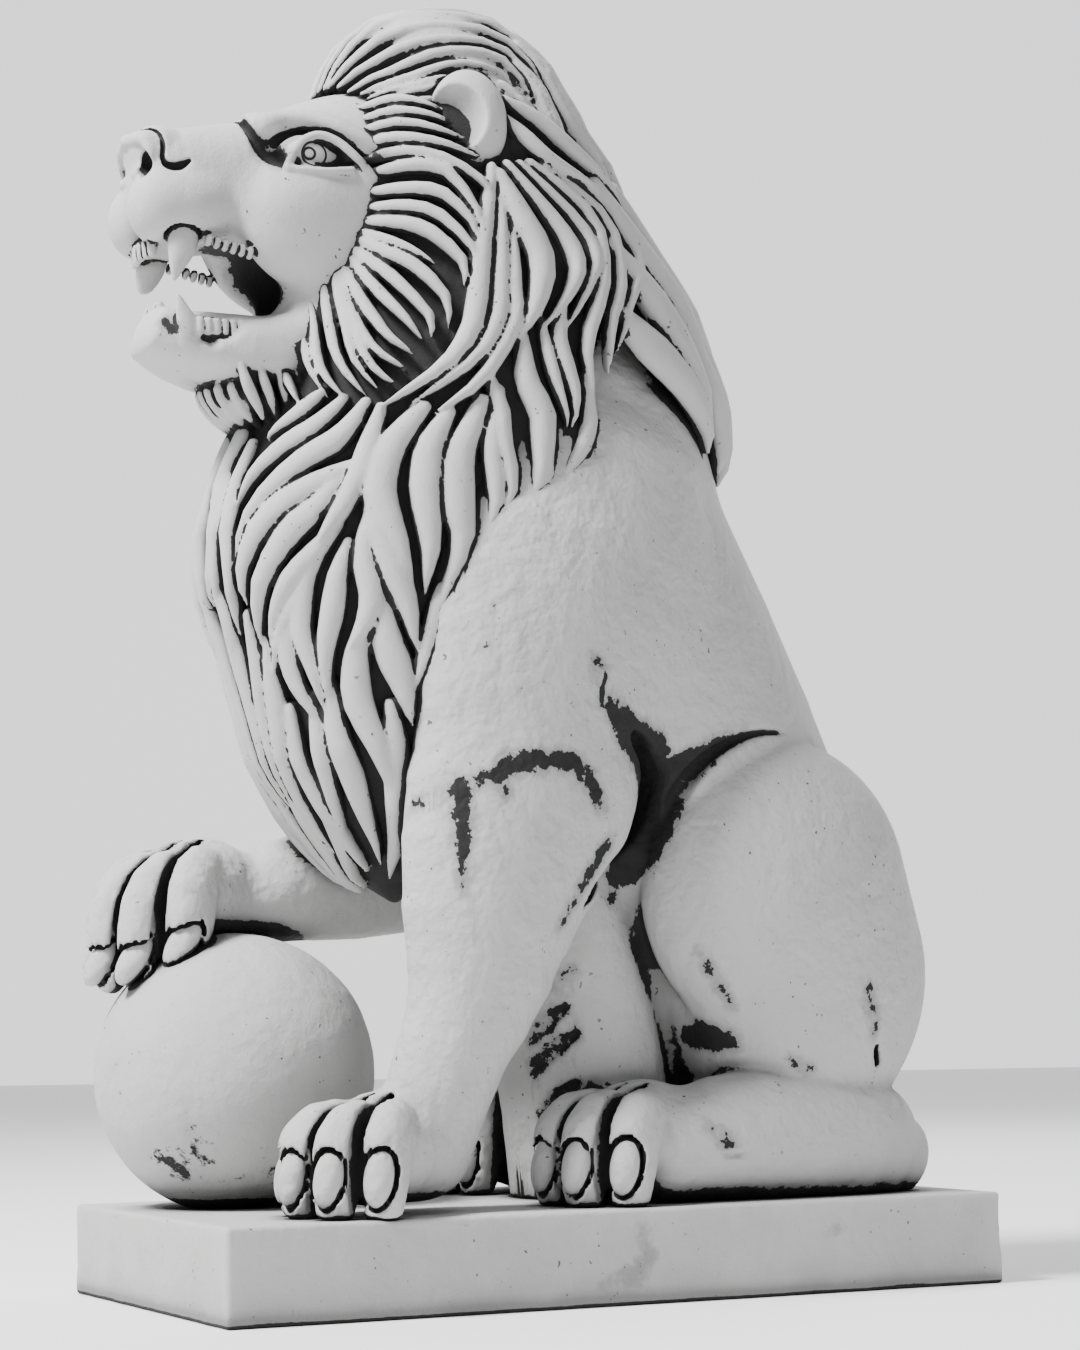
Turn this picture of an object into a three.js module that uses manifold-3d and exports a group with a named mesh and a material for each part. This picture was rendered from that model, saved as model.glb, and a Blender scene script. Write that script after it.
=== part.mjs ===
// A seated lion in cast stone, one forepaw on a ball, on a rectangular plinth.
// Millimetres, +Z up. The lion looks along -Y and its left side is +X.
// The origin is at the bottom centre of the plinth.
import * as THREE from "three";
import { mergeVertices } from "three/addons/utils/BufferGeometryUtils.js";
import Module from "manifold-3d";

const wasm = await Module();
wasm.setup();

// Driving sizes
const plinth = { length: 620, width: 350, height: 68 };
const lionHeight = 933; // from the plinth's top to the crown
const ball = { radius: 107, side: -68, front: 217, sunk: 8 }; // sunk is how much of it is cut flat below
const bedding = 0.4; // open joint between two castings
const designHeight = 933; // the height that the figure's stations are written at

const toeSpread = 18.5; // degrees from one toe to the next

const stone = new THREE.MeshStandardMaterial({ color: 0xd9d9d6, roughness: 0.85, metalness: 0 });

const rad = THREE.MathUtils.degToRad;

// Solids
const toSolid = (geometry) => {
  const bare = geometry.clone();
  bare.deleteAttribute("normal");
  bare.deleteAttribute("uv");
  const merged = mergeVertices(bare, 1e-4);
  return new wasm.Manifold(
    new wasm.Mesh({
      numProp: 3,
      vertProperties: merged.attributes.position.array,
      triVerts: new Uint32Array(merged.index.array),
    }),
  );
};

const facingOut = (geometry) => {
  const solid = toSolid(geometry);
  if (solid.volume() > 0) return solid;
  const index = geometry.index.array;
  for (let i = 0; i < index.length; i += 3) [index[i + 1], index[i + 2]] = [index[i + 2], index[i + 1]];
  return toSolid(geometry);
};

// The solid's outer skin. A sliver of air that is sealed in between two locks is filled.
const toGeometry = (solid) => {
  const mesh = solid.getMesh();
  const leader = Array.from({ length: mesh.numVert }, (_, i) => i);
  const find = (i) => {
    while (leader[i] !== i) i = leader[i] = leader[leader[i]];
    return i;
  };
  const corner = (i) => Array.from(mesh.triVerts.slice(3 * i, 3 * i + 3));
  const triangles = Array.from({ length: mesh.numTri }, (_, i) => corner(i));
  for (const [a, b, c] of triangles) {
    leader[find(a)] = find(b);
    leader[find(b)] = find(c);
  }
  const sizes = new Map();
  for (const [a] of triangles) sizes.set(find(a), (sizes.get(find(a)) ?? 0) + 1);
  const outer = [...sizes].sort((a, b) => b[1] - a[1])[0][0];
  const geometry = new THREE.BufferGeometry();
  const corners = triangles.filter(([a]) => find(a) === outer).flat();
  const position = corners.flatMap((i) => [0, 1, 2].map((k) => mesh.vertProperties[mesh.numProp * i + k]));
  geometry.setAttribute("position", new THREE.BufferAttribute(new Float32Array(position), 3));
  const merged = mergeVertices(geometry, 1e-5);
  merged.computeVertexNormals();
  return merged;
};

const join = (solids) => solids.reduce((whole, solid) => whole.add(solid));

// A sphere bent along the line through its stations. Each station is [x, y, z, half width, half depth].
// The width lies across the lion and the depth lies square to the line. A fullness of 2 gives an
// ellipsoid, and more gives blunter ends. A squareness of 2 gives oval sections, and more gives boxier
// ones. The turn, in degrees about Z, is that of the width's direction.
function limb(stations, { around = 12, along = 8, fullness = 3, squareness = 2, turn = 0 } = {}) {
  const points = stations.map(([x, y, z]) => new THREE.Vector3(x, y, z));
  const line = new THREE.CatmullRomCurve3(points, false, "centripetal");
  const radii = new THREE.CatmullRomCurve3(
    stations.map(([, , , w, d], i) => new THREE.Vector3(w, d ?? w, i)), false, "catmullrom");
  const geometry = new THREE.SphereGeometry(1, around, along);
  const position = geometry.getAttribute("position");
  const wide = new THREE.Vector3(Math.cos(rad(turn)), Math.sin(rad(turn)), 0);
  const across = new THREE.Vector3();
  const depth = new THREE.Vector3();
  for (let i = 0; i < position.count; i++) {
    const [x, y, z] = [position.getX(i), position.getY(i), position.getZ(i)];
    const t = THREE.MathUtils.clamp((1 - y) / 2, 0, 1);
    const share = Math.pow(Math.max(0, 1 - Math.pow(Math.abs(2 * t - 1), fullness)), 1 / fullness);
    const ring = Math.pow(Math.abs(x) ** squareness + Math.abs(z) ** squareness, 1 / squareness) || 1;
    const centre = line.getPoint(t);
    const tangent = line.getTangent(t);
    const r = radii.getPoint(t);
    across.copy(wide).addScaledVector(tangent, -wide.dot(tangent)).normalize();
    depth.crossVectors(across, tangent);
    centre.addScaledVector(across, (x / ring) * r.x * share);
    centre.addScaledVector(depth, (z / ring) * r.y * share);
    position.setXYZ(i, centre.x, centre.y, centre.z);
  }
  return facingOut(geometry);
}

// An ellipsoid at a centre, turned by angles in degrees about X, Y and Z.
function blob(centre, radii, turn = [0, 0, 0], { around = 12, along = 8 } = {}) {
  const geometry = new THREE.SphereGeometry(1, around, along);
  geometry.rotateX(Math.PI / 2);
  geometry.scale(...radii);
  const [ax, ay, az] = turn.map(THREE.MathUtils.degToRad);
  geometry.applyMatrix4(new THREE.Matrix4().makeRotationFromEuler(new THREE.Euler(ax, ay, az)));
  geometry.translate(...centre);
  return toSolid(geometry);
}

const bothSides = (make) => [make(1), make(-1)];

// The trunk, from the rump to the neck, and the belly down between the hind legs
const trunk = () => [
  limb([[0, 214, -40, 100, 96], [0, 208, 90, 118, 104], [0, 170, 220, 132, 126], [0, 112, 335, 136, 142],
    [0, 50, 445, 138, 150], [0, 2, 545, 126, 146], [0, -30, 660, 90, 120]],
    { around: 12, along: 8, fullness: 4 }),
  limb([[0, -60, 330, 85, 80], [0, 4, 230, 88, 74], [0, 38, 120, 84, 66], [0, 54, -30, 80, 66]],
    { around: 10, along: 6 }),
  // the tail comes down behind and lies round the far haunch
  limb([[-30, 282, 96, 22, 22], [-62, 296, 26, 20, 20], [-128, 256, 16, 17, 17], [-152, 168, 15, 16, 16],
    [-152, 70, 17, 20, 18]], { around: 7, along: 9, fullness: 6 }),
];

// The haunches and the hind feet
const haunch = (side) => [
  blob([side * 98, 164, 230], [67, 117, 114], [8, 0, 0], { around: 11, along: 7 }),
  blob([side * 84, 200, 156], [70, 102, 124], [-20, 0, 0], { around: 10, along: 6 }),
  limb([[side * 112, 52, 36, 46, 40], [side * 112, 96, 44, 46, 48], [side * 110, 150, 48, 46, 54],
    [side * 104, 222, 44, 42, 54], [side * 97, 268, 22, 30, 36]], { around: 9, along: 7, fullness: 5 }),
  ...paw([side * 94, 73, 0], 1.05, side * 14),
];

// A paw whose four toes spread like a fan, each with its claw. Its centre is below the ankle. It points
// along -Y, turned towards +X by an angle in degrees, and droop bends the toes down.
function paw([x, y, z], size, turn, droop = 0) {
  const place = (angle, out, up, w, d) => {
    const way = rad(turn + angle);
    const drop = (droop * Math.max(0, out - 42) ** 2) / 100;
    return [x + out * Math.sin(way) * size, y - out * Math.cos(way) * size, z + (up - drop) * size,
      w * size, d * size];
  };
  const solids = [limb([place(0, 4, 42, 36, 32), place(0, 32, 46, 46, 42), place(0, 78, 32, 50, 30)],
    { around: 8, along: 5, turn })];
  for (const toe of [-1.5, -0.5, 0.5, 1.5]) {
    const angle = toe * toeSpread;
    const back = Math.abs(toe) > 1 ? -12 : 0;
    const toePoint = (out, up, w, d) => place(angle, out + back, up, w, d);
    const coarse = { around: 6, along: 3, fullness: 2.4, turn: turn + angle };
    solids.push(limb([toePoint(34, 48, 14, 18), toePoint(68, 54, 19, 26), toePoint(94, 40, 21, 30),
      toePoint(102, 6, 20, 26)], coarse));
    solids.push(limb([toePoint(98, 56, 7, 8), toePoint(115, 32, 14, 12), toePoint(112, -2, 9, 10)],
      { ...coarse, around: 4 }));
  }
  return solids;
}

// The near foreleg stands, the far one reaches forward to the ball
const standingForeleg = () => [
  limb([[98, 10, 560, 40, 90], [108, -14, 470, 52, 112], [116, -46, 380, 50, 104], [118, -58, 280, 44, 84]],
    { around: 10, along: 6 }),
  limb([[114, -46, 350, 46, 72], [116, -60, 300, 50, 92], [117, -84, 225, 47, 73], [116, -98, 160, 41, 54],
    [112, -118, 112, 39, 41], [104, -136, 40, 40, 42]], { around: 10, along: 7, fullness: 5 }),
  blob([114, 0, 304], [38, 32, 40], [0, 0, 0], { around: 8, along: 6 }),
  ...paw([96, -136, 0], 1.02, 24),
];

const reachingForeleg = () => {
  const top = ball.radius * 2 - ball.sunk;
  const [x, y] = [ball.side - 50, -ball.front + 11]; // the paw's centre
  return [
    limb([[-98, 10, 560, 40, 90], [-108, -14, 470, 52, 108], [-110, -36, 380, 50, 100],
      [-106, -34, 286, 46, 76]], { around: 10, along: 6 }),
    limb([[-104, -10, 280, 42, 60], [-102, -80, 250, 44, 50], [-98, -156, 240, 40, 44],
      [x + 12, y + 8, top + 24, 40, 34], [x + 16, y - 34, top + 14, 42, 32]],
    { around: 10, along: 7, fullness: 5 }),
    ...paw([x, y, top - 16], 1.08, 24, 0.75),
  ];
};

// The mane's mass by level: [height, middle, half width, half depth]
const maneLevels = [
  [226, -112, 8, 8], [246, -118, 46, 30], [272, -122, 80, 48], [294, -124, 96, 64], [332, -122, 110, 90],
  [370, -116, 118, 108], [414, -108, 124, 131], [459, -88, 129, 168], [497, -72, 131, 186],
  [535, -48, 133, 201], [582, -34, 133, 198], [619, -32, 131, 192], [652, -32, 128, 180],
  [688, -36, 124, 168], [727, -44, 118, 150], [766, -52, 112, 136], [802, -60, 105, 126],
  [832, -66, 97, 108], [871, -70, 82, 88], [895, -74, 66, 76], [917, -76, 46, 56], [926, -74, 14, 18],
];

function onMane(angle, height) {
  const last = maneLevels.length - 1;
  let i = 0;
  while (i < last - 1 && height > maneLevels[i + 1][0]) i++;
  const [a, b] = [maneLevels[i], maneLevels[i + 1]];
  const t = THREE.MathUtils.clamp((height - a[0]) / (b[0] - a[0]), 0, 1);
  const mix = (k) => a[k] + (b[k] - a[k]) * t;
  return new THREE.Vector3(mix(2) * Math.sin(angle), mix(1) - mix(3) * Math.cos(angle), height);
}

function maneMass({ around = 12, along = 9 } = {}) {
  const geometry = new THREE.SphereGeometry(1, around, along);
  const position = geometry.getAttribute("position");
  const [low, high] = [maneLevels[0], maneLevels.at(-1)];
  for (let i = 0; i < position.count; i++) {
    const [x, y, z] = [position.getX(i), position.getY(i), position.getZ(i)];
    const height = low[0] + ((y + 1) / 2) * (high[0] - low[0]);
    const p = onMane(Math.atan2(x, z), height);
    if (Math.hypot(x, z) < 1e-6) p.set(0, (y > 0 ? high : low)[1], height);
    position.setXYZ(i, p.x, p.y, p.z);
  }
  return facingOut(geometry);
}

// The crown as a chart: an angle across the head, and an angle that climbs from the forehead over the
// top and down the nape
const crown = { front: -60, height: 790, halfWidth: 92, sink: 9 };
const crownReach = [
  [25, 131], [54, 145], [85, 142.6], [99, 144.7], [127, 131], [138, 122], [160, 121], [189, 158],
];

function onCrown(across, climb) {
  let i = 0;
  while (i < crownReach.length - 2 && climb > crownReach[i + 1][0]) i++;
  const [a, b] = [crownReach[i], crownReach[i + 1]];
  const reach = a[1] + (b[1] - a[1]) * ((climb - a[0]) / (b[0] - a[0])) - crown.sink;
  const dir = THREE.MathUtils.degToRad(climb);
  return new THREE.Vector3(
    crown.halfWidth * Math.sin(across),
    crown.front - reach * Math.cos(across) * Math.cos(dir),
    crown.height + reach * Math.cos(across) * Math.sin(dir),
  );
}

// A lock of hair lies on a surface. It runs from one place of the surface's chart to another, bows
// sideways by a share of its length, and ends in a point. Its section is a ridge with its feet sunk.
function lock(surface, from, to, { width, height, bow = 0, sway = 0, stations = 3, foot = 8 }) {
  const length = surface(...from).distanceTo(surface(...to));
  const rings = [];
  for (let i = 0; i <= stations; i++) {
    const t = i / stations;
    const [u, v] = [0, 1].map((k) => from[k] + (to[k] - from[k]) * t);
    const p = surface(u, v);
    const eastward = surface(u + 0.01, v).sub(surface(u - 0.01, v));
    const upward = surface(u, v + 1).sub(surface(u, v - 1));
    const normal = eastward.cross(upward).normalize();
    const ahead = surface(u + (to[0] - u) * 0.02 + 1e-5, v + (to[1] - v) * 0.02 + 1e-3).sub(p);
    const behind = surface(u - (to[0] - from[0]) * 0.02, v - (to[1] - from[1]) * 0.02);
    if (i === stations) ahead.copy(p).sub(behind);
    const sideways = new THREE.Vector3().crossVectors(normal, ahead).normalize();
    p.addScaledVector(sideways, length * (bow * Math.sin(Math.PI * t) + sway * Math.sin(2 * Math.PI * t)));
    const spread = (width / 2) * Math.max(0.06, Math.pow(Math.sin(Math.PI * (0.16 + 0.84 * t)), 0.8));
    const rise = height * Math.sin(Math.PI * (0.2 + 0.72 * t));
    rings.push([[-1, -foot], [-0.1, rise], [1, -foot]].map(([across, lift]) =>
      p.clone().addScaledVector(sideways, across * spread).addScaledVector(normal, lift)));
  }
  return swept(rings);
}

// A closed body through rings that have the same number of points
function swept(rings) {
  const n = rings[0].length;
  const vertices = rings.flat().flatMap((p) => [p.x, p.y, p.z]);
  const faces = [];
  for (let i = 0; i < rings.length - 1; i++)
    for (let k = 0; k < n; k++) {
      const [a, b] = [i * n + k, i * n + ((k + 1) % n)];
      faces.push(a, b, b + n, a, b + n, a + n);
    }
  const last = (rings.length - 1) * n;
  for (let k = 1; k < n - 1; k++) faces.push(0, k + 1, k, last, last + k, last + k + 1);
  const geometry = new THREE.BufferGeometry();
  geometry.setAttribute("position", new THREE.BufferAttribute(new Float32Array(vertices), 3));
  geometry.setIndex(faces);
  return facingOut(geometry);
}

// A row of locks: their roots and tips are spread evenly along two lines of the chart, and the row is
// repeated on the other side.
function rowOfLocks(count, roots, tips, { surface = onMane, bow = 0, sway = 0, ...shape }) {
  const between = (line, t) => {
    const s = t * (line.length - 1);
    const i = Math.min(line.length - 2, Math.floor(s));
    return [0, 1].map((k) => line[i][k] + (line[i + 1][k] - line[i][k]) * (s - i));
  };
  return Array.from({ length: count }, (_, i) => {
    const t = count === 1 ? 0.5 : i / (count - 1);
    const [a, b] = [between(roots, t), between(tips, t)];
    return bothSides((side) => lock(surface, [side * rad(a[0]), a[1]], [side * rad(b[0]), b[1]],
      { ...shape, bow: side * bow, sway: side * sway }));
  }).flat();
}

// The mane's rows, as [angle from the front in degrees, height] on the mane's mass
const mane = () => [
  maneMass(),
  // the chest, from its lowest tier up
  ...rowOfLocks(3, [[12, 385], [66, 400]], [[6, 240], [58, 240]], { width: 46, height: 11, bow: 0.06 }),
  ...rowOfLocks(3, [[10, 480], [74, 480]], [[12, 322], [74, 300]], { width: 56, height: 12, bow: -0.07 }),
  ...rowOfLocks(3, [[10, 585], [68, 585]], [[8, 418], [68, 385]], { width: 58, height: 12, bow: 0.08 }),
  // the long locks that hang from behind the ear
  ...rowOfLocks(3, [[72, 620], [100, 700]], [[80, 415], [102, 575]],
    { width: 50, height: 16, sway: -0.06, stations: 3 }),
  ...rowOfLocks(3, [[82, 775], [120, 770]], [[70, 555], [110, 640]],
    { width: 50, height: 17, sway: 0.07, stations: 4 }),
  ...rowOfLocks(2, [[134, 770], [166, 770]], [[132, 610], [168, 592]], { width: 72, height: 14, sway: 0.04 }),
  // the ruff round the face
  ...rowOfLocks(5, [[52, 812], [46, 749], [38, 672], [14, 636]], [[84, 792], [76, 708], [58, 612], [20, 580]],
    { width: 35, height: 17, bow: -0.1 }),
  // the crown
  ...rowOfLocks(3, [[12, 30], [62, 34]], [[12, 112], [70, 118]],
    { surface: onCrown, width: 44, height: 12, foot: 12 }),
  ...rowOfLocks(2, [[10, 98], [52, 104]], [[14, 176], [56, 180]],
    { surface: onCrown, width: 60, height: 14, foot: 12 }),
];

// The head: what is built up, and then what is cut from it
const head = () => [
  blob([0, -130, 782], [84, 96, 72], [0, 0, 0], { around: 10, along: 6 }),
  limb([[0, -120, 780, 76, 70], [0, -190, 778, 67, 62], [0, -262, 766, 54, 52], [0, -312, 764, 45, 47],
    [0, -328, 762, 39, 43]], { around: 12, along: 6, fullness: 7, squareness: 2.7 }),
  blob([0, -321, 789], [24, 14, 16], [0, 0, 0], { around: 7, along: 5 }),
  ...bothSides((s) => blob([s * 24, -312, 740], [26, 23, 29], [0, 0, 0], { around: 7, along: 5 })),
  ...bothSides((s) => blob([s * 44, -166, 738], [38, 86, 66], [0, 0, 0], { around: 9, along: 6 })),
  limb([[0, -150, 654, 70, 62], [0, -230, 636, 59, 34], [0, -284, 642, 47, 29], [0, -316, 654, 32, 25]],
    { around: 12, along: 6, fullness: 6, squareness: 2.6 }),
  blob([0, -146, 690], [80, 72, 86], [0, 0, 0], { around: 10, along: 7 }),
  ...bothSides((s) => limb([[s * 16, -224, 820, 14, 13], [s * 46, -208, 820, 18, 17],
    [s * 84, -156, 794, 12, 12]], { around: 7, along: 4 })),
  limb([[0, -214, 622, 40, 30], [0, -222, 586, 22, 20]], { around: 7, along: 4 }),
  ...bothSides((s) => blob([s * 96, -78, 812], [20, 26, 43], [0, 0, 0], { around: 9, along: 6 })),
];

const headCuts = () => [
  // the mouth, and the tray between the lower teeth
  limb([[0, -400, 694, 80, 20], [0, -320, 692, 76, 23], [0, -262, 674, 76, 36], [0, -214, 680, 76, 20]],
    { around: 10, along: 6, fullness: 7, squareness: 3 }),
  limb([[0, -306, 670, 24, 20], [0, -262, 662, 38, 34], [0, -196, 676, 44, 34]],
    { around: 8, along: 4, fullness: 5 }),
  ...bothSides((s) => blob([s * 15, -338, 790], [8, 16, 9], [0, 0, 0], { around: 6, along: 4 })),
  ...bothSides((s) => blob([s * 72, -196, 788], [17, 20, 13], [0, 0, 0], { around: 7, along: 4 })),
  ...bothSides((s) => blob([s * 112, -90, 812], [18, 14, 27], [0, 0, s * -18], { around: 7, along: 5 })),
];

const headFills = () => [
  ...bothSides((s) => blob([s * 58, -192, 788], [12, 15, 11], [0, 0, 0], { around: 7, along: 4 })),
  ...bothSides((s) => limb([[s * 35, -292, 736, 8, 10], [s * 35, -293, 704, 6, 8], [s * 34, -294, 678, 2, 2]],
    { around: 5, along: 3 })),
  ...bothSides((s) => limb([[s * 30, -296, 640, 9, 10], [s * 30, -299, 664, 6, 7], [s * 29, -302, 684, 2, 2]],
    { around: 5, along: 3 })),
  limb([[0, -180, 648, 30, 16], [0, -240, 648, 32, 14], [0, -276, 646, 24, 9]], { around: 7, along: 4 }),
];

const lion = () => {
  const scale = lionHeight / designHeight;
  const face = join([join(head()).subtract(join(headCuts())), ...headFills()]);
  const legs = [...bothSides(haunch).flat(), ...standingForeleg(), ...reachingForeleg()];
  const figure = join([...trunk(), ...legs, ...mane(), face]);
  return figure.scale([scale, scale, scale]).translate([0, 0, plinth.height]);
};

const box = (width, length, height, z) => {
  const geometry = new THREE.BoxGeometry(width, length, height);
  geometry.translate(0, 0, z + height / 2);
  return toSolid(geometry);
};

const ballCentre = [ball.side, -ball.front, plinth.height + bedding - ball.sunk + ball.radius];
const sphere = (radius, detail) => blob(ballCentre, [radius, radius, radius], [0, 0, 0], detail);

const ballDetail = { around: 20, along: 12 };
const belowBedding = box(1000, 1000, 400, plinth.height + bedding - 400);
const ballSolid = sphere(ball.radius, ballDetail).subtract(belowBedding);
const lionSolid = lion().subtract(sphere(ball.radius + bedding, ballDetail)).subtract(belowBedding);

const statue = new THREE.Group();
const solids = {
  plinth: box(plinth.width, plinth.length, plinth.height, 0),
  ball: ballSolid,
  lion: lionSolid,
};
for (const [name, solid] of Object.entries(solids)) {
  const mesh = new THREE.Mesh(toGeometry(solid), stone.clone());
  mesh.name = name;
  statue.add(mesh);
}

export default statue;
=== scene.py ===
# The dressed lion: the ball, plinth and lion are rebuilt here with the relief of the photograph.
import math
import time

import bmesh
import bpy
import numpy as np
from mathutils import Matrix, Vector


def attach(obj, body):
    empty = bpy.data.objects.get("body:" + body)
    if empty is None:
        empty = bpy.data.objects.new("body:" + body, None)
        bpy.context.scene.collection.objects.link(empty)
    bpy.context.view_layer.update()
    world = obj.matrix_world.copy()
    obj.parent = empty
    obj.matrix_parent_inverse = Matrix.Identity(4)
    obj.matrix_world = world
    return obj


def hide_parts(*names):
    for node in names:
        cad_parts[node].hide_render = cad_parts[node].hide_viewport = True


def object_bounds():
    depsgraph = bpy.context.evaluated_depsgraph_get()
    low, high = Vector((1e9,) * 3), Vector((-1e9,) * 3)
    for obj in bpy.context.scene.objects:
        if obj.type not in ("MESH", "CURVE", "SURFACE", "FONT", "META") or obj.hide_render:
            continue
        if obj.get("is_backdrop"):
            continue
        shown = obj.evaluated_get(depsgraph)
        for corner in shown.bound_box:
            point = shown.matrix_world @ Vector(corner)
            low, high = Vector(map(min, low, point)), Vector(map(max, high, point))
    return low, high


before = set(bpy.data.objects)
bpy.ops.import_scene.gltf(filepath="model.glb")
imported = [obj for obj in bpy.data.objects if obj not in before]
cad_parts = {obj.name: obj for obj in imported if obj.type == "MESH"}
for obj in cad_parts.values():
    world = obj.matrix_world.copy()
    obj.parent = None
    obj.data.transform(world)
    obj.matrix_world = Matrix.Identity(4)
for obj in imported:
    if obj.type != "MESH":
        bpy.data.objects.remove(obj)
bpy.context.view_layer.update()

import openvdb
from mathutils import Matrix, Vector, noise

started = time.time()


def stage(words):
    print("scene: %s at %.0f s" % (words, time.time() - started), flush=True)


# The lion's places are in millimetres from the top of the plinth, and go to metres in toMesh.
plinthSize = {"length": 620.0, "width": 350.0, "height": 68.0, "edge": 3.0}
ballSize = {"radius": 107.0, "side": -68.0, "front": 217.0, "sunk": 8.0}
# The open joint between two pieces
joint = 0.4
# The step of each grid of distances, and the most faces of a piece
quality = {"head": 1.5, "mane": 2.0, "body": 2.5, "faces": 196000}


# A line of values laid along one axis of a grid
def onAxis(line, k):
    return line.reshape([-1 if i == k else 1 for i in range(3)])


# The values of a grid at places between its points
def between(values, at, kind=float):
    at = np.clip(at, 0, np.array(values.shape) - 1.001)
    base = at.astype(int)
    part = (at - base).astype(kind)
    total = np.zeros(len(at), kind)
    for corner in range(8):
        pick = [(corner >> k) & 1 for k in range(3)]
        weight = np.prod([part[:, k] if pick[k] else 1 - part[:, k] for k in range(3)], axis=0)
        total += weight * values[tuple(base[:, k] + pick[k] for k in range(3))]
    return total


# A grid of distances to a surface, in which shapes are joined and cut
class Field:
    def __init__(self, low, high, step):
        self.low = np.array(low, float)
        self.step = step
        self.shape = np.ceil((np.array(high, float) - self.low) / step).astype(int) + 1
        self.values = np.full(self.shape, 40.0, np.float32)

    def window(self, low, high):
        first = np.clip(np.floor((np.array(low) - self.low) / self.step).astype(int), 0, self.shape)
        last = np.clip(np.ceil((np.array(high) - self.low) / self.step).astype(int) + 1, 0, self.shape)
        if (last <= first).any():
            return None, None
        axes = []
        for k in range(3):
            line = (self.low[k] + self.step * np.arange(first[k], last[k])).astype(np.float32)
            axes.append(onAxis(line, k))
        return tuple(slice(first[k], last[k]) for k in range(3)), axes

    def mix(self, part, blend, sign):
        low, high, distance = part
        where, axes = self.window(np.array(low) - 3 * self.step - blend,
                                  np.array(high) + 3 * self.step + blend)
        if where is None:
            return
        new = distance(*axes) * sign
        old = self.values[where] * sign
        result = np.minimum(old, new)
        if blend > 0:
            near = np.maximum(blend - np.abs(old - new), 0) / blend
            result = result - near * near * (blend * 0.25)
        self.values[where] = result * sign

    def add(self, parts, blend=0.0):
        for part in parts if isinstance(parts, list) else [parts]:
            self.mix(part, blend, 1)

    def cut(self, parts, blend=0.0):
        for part in parts if isinstance(parts, list) else [parts]:
            low, high, distance = part
            flipped = (low, high, lambda x, y, z, d=distance: -d(x, y, z))
            self.mix(flipped, blend, -1)

    # How far out from the middle plane the surface lies, for each (y, z) on one side
    def skin(self, side, places):
        line = np.arange(0, 130, 0.5)
        result = []
        for y, z in places:
            points = np.stack([side * line, y + 0 * line, z + 0 * line], 1)
            values = between(self.values, (points - self.low) / self.step)
            inside = np.nonzero(values < 0)[0]
            result.append(line[inside[-1]] if len(inside) else 0.0)
        return result

    def surface(self):
        limit = 2.5 * self.step
        grid = openvdb.FloatGrid(limit)
        grid.copyFromArray(np.clip(self.values, -limit, limit), tolerance=1e-4)
        points, triangles, quads = grid.convertToPolygons(isovalue=0.0, adaptivity=0.0)
        return points * self.step + self.low, quads.tolist() + triangles.tolist()


def turned(angles):
    x, y, z = (Matrix.Rotation(math.radians(a), 3, k) for a, k in zip(angles, "XYZ"))
    return np.array(x @ y @ z, dtype=np.float32)


def ellipsoid(centre, radii, turn=(0, 0, 0)):
    c = np.array(centre, np.float32)
    r = np.array(radii, np.float32)
    m = turned(turn)
    reach = np.sqrt(((m * r) ** 2).sum(1))

    def distance(x, y, z):
        p = [x - c[0], y - c[1], z - c[2]]
        q = [sum(m[i, k] * p[i] for i in range(3)) for k in range(3)]
        near = np.sqrt(sum((q[k] / r[k]) ** 2 for k in range(3)))
        steep = np.sqrt(sum((q[k] / r[k] ** 2) ** 2 for k in range(3)))
        return near * (near - 1) / np.maximum(steep, 1e-6)

    return c - reach, c + reach, distance


# A smooth line through stations, as many points as asked for
def smoothLine(stations, count):
    s = np.array(stations, float)
    last = len(s) - 1
    result = []
    for t in np.linspace(0, last, count):
        i = min(int(t), last - 1)
        f = t - i
        a = s[max(i - 1, 0)] if i > 0 else 2 * s[0] - s[1]
        b, c = s[i], s[i + 1]
        d = s[i + 2] if i + 2 <= last else 2 * s[last] - s[last - 1]
        second = 2 * a - 5 * b + 4 * c - d
        third = 3 * b - a - 3 * c + d
        result.append(0.5 * (2 * b + (c - a) * f + second * f ** 2 + third * f ** 3))
    return np.array(result)


# How far a place lies along a direction
def along(way, x, y, z):
    return x * np.float32(way[0]) + y * np.float32(way[1]) + z * np.float32(way[2])


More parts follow.
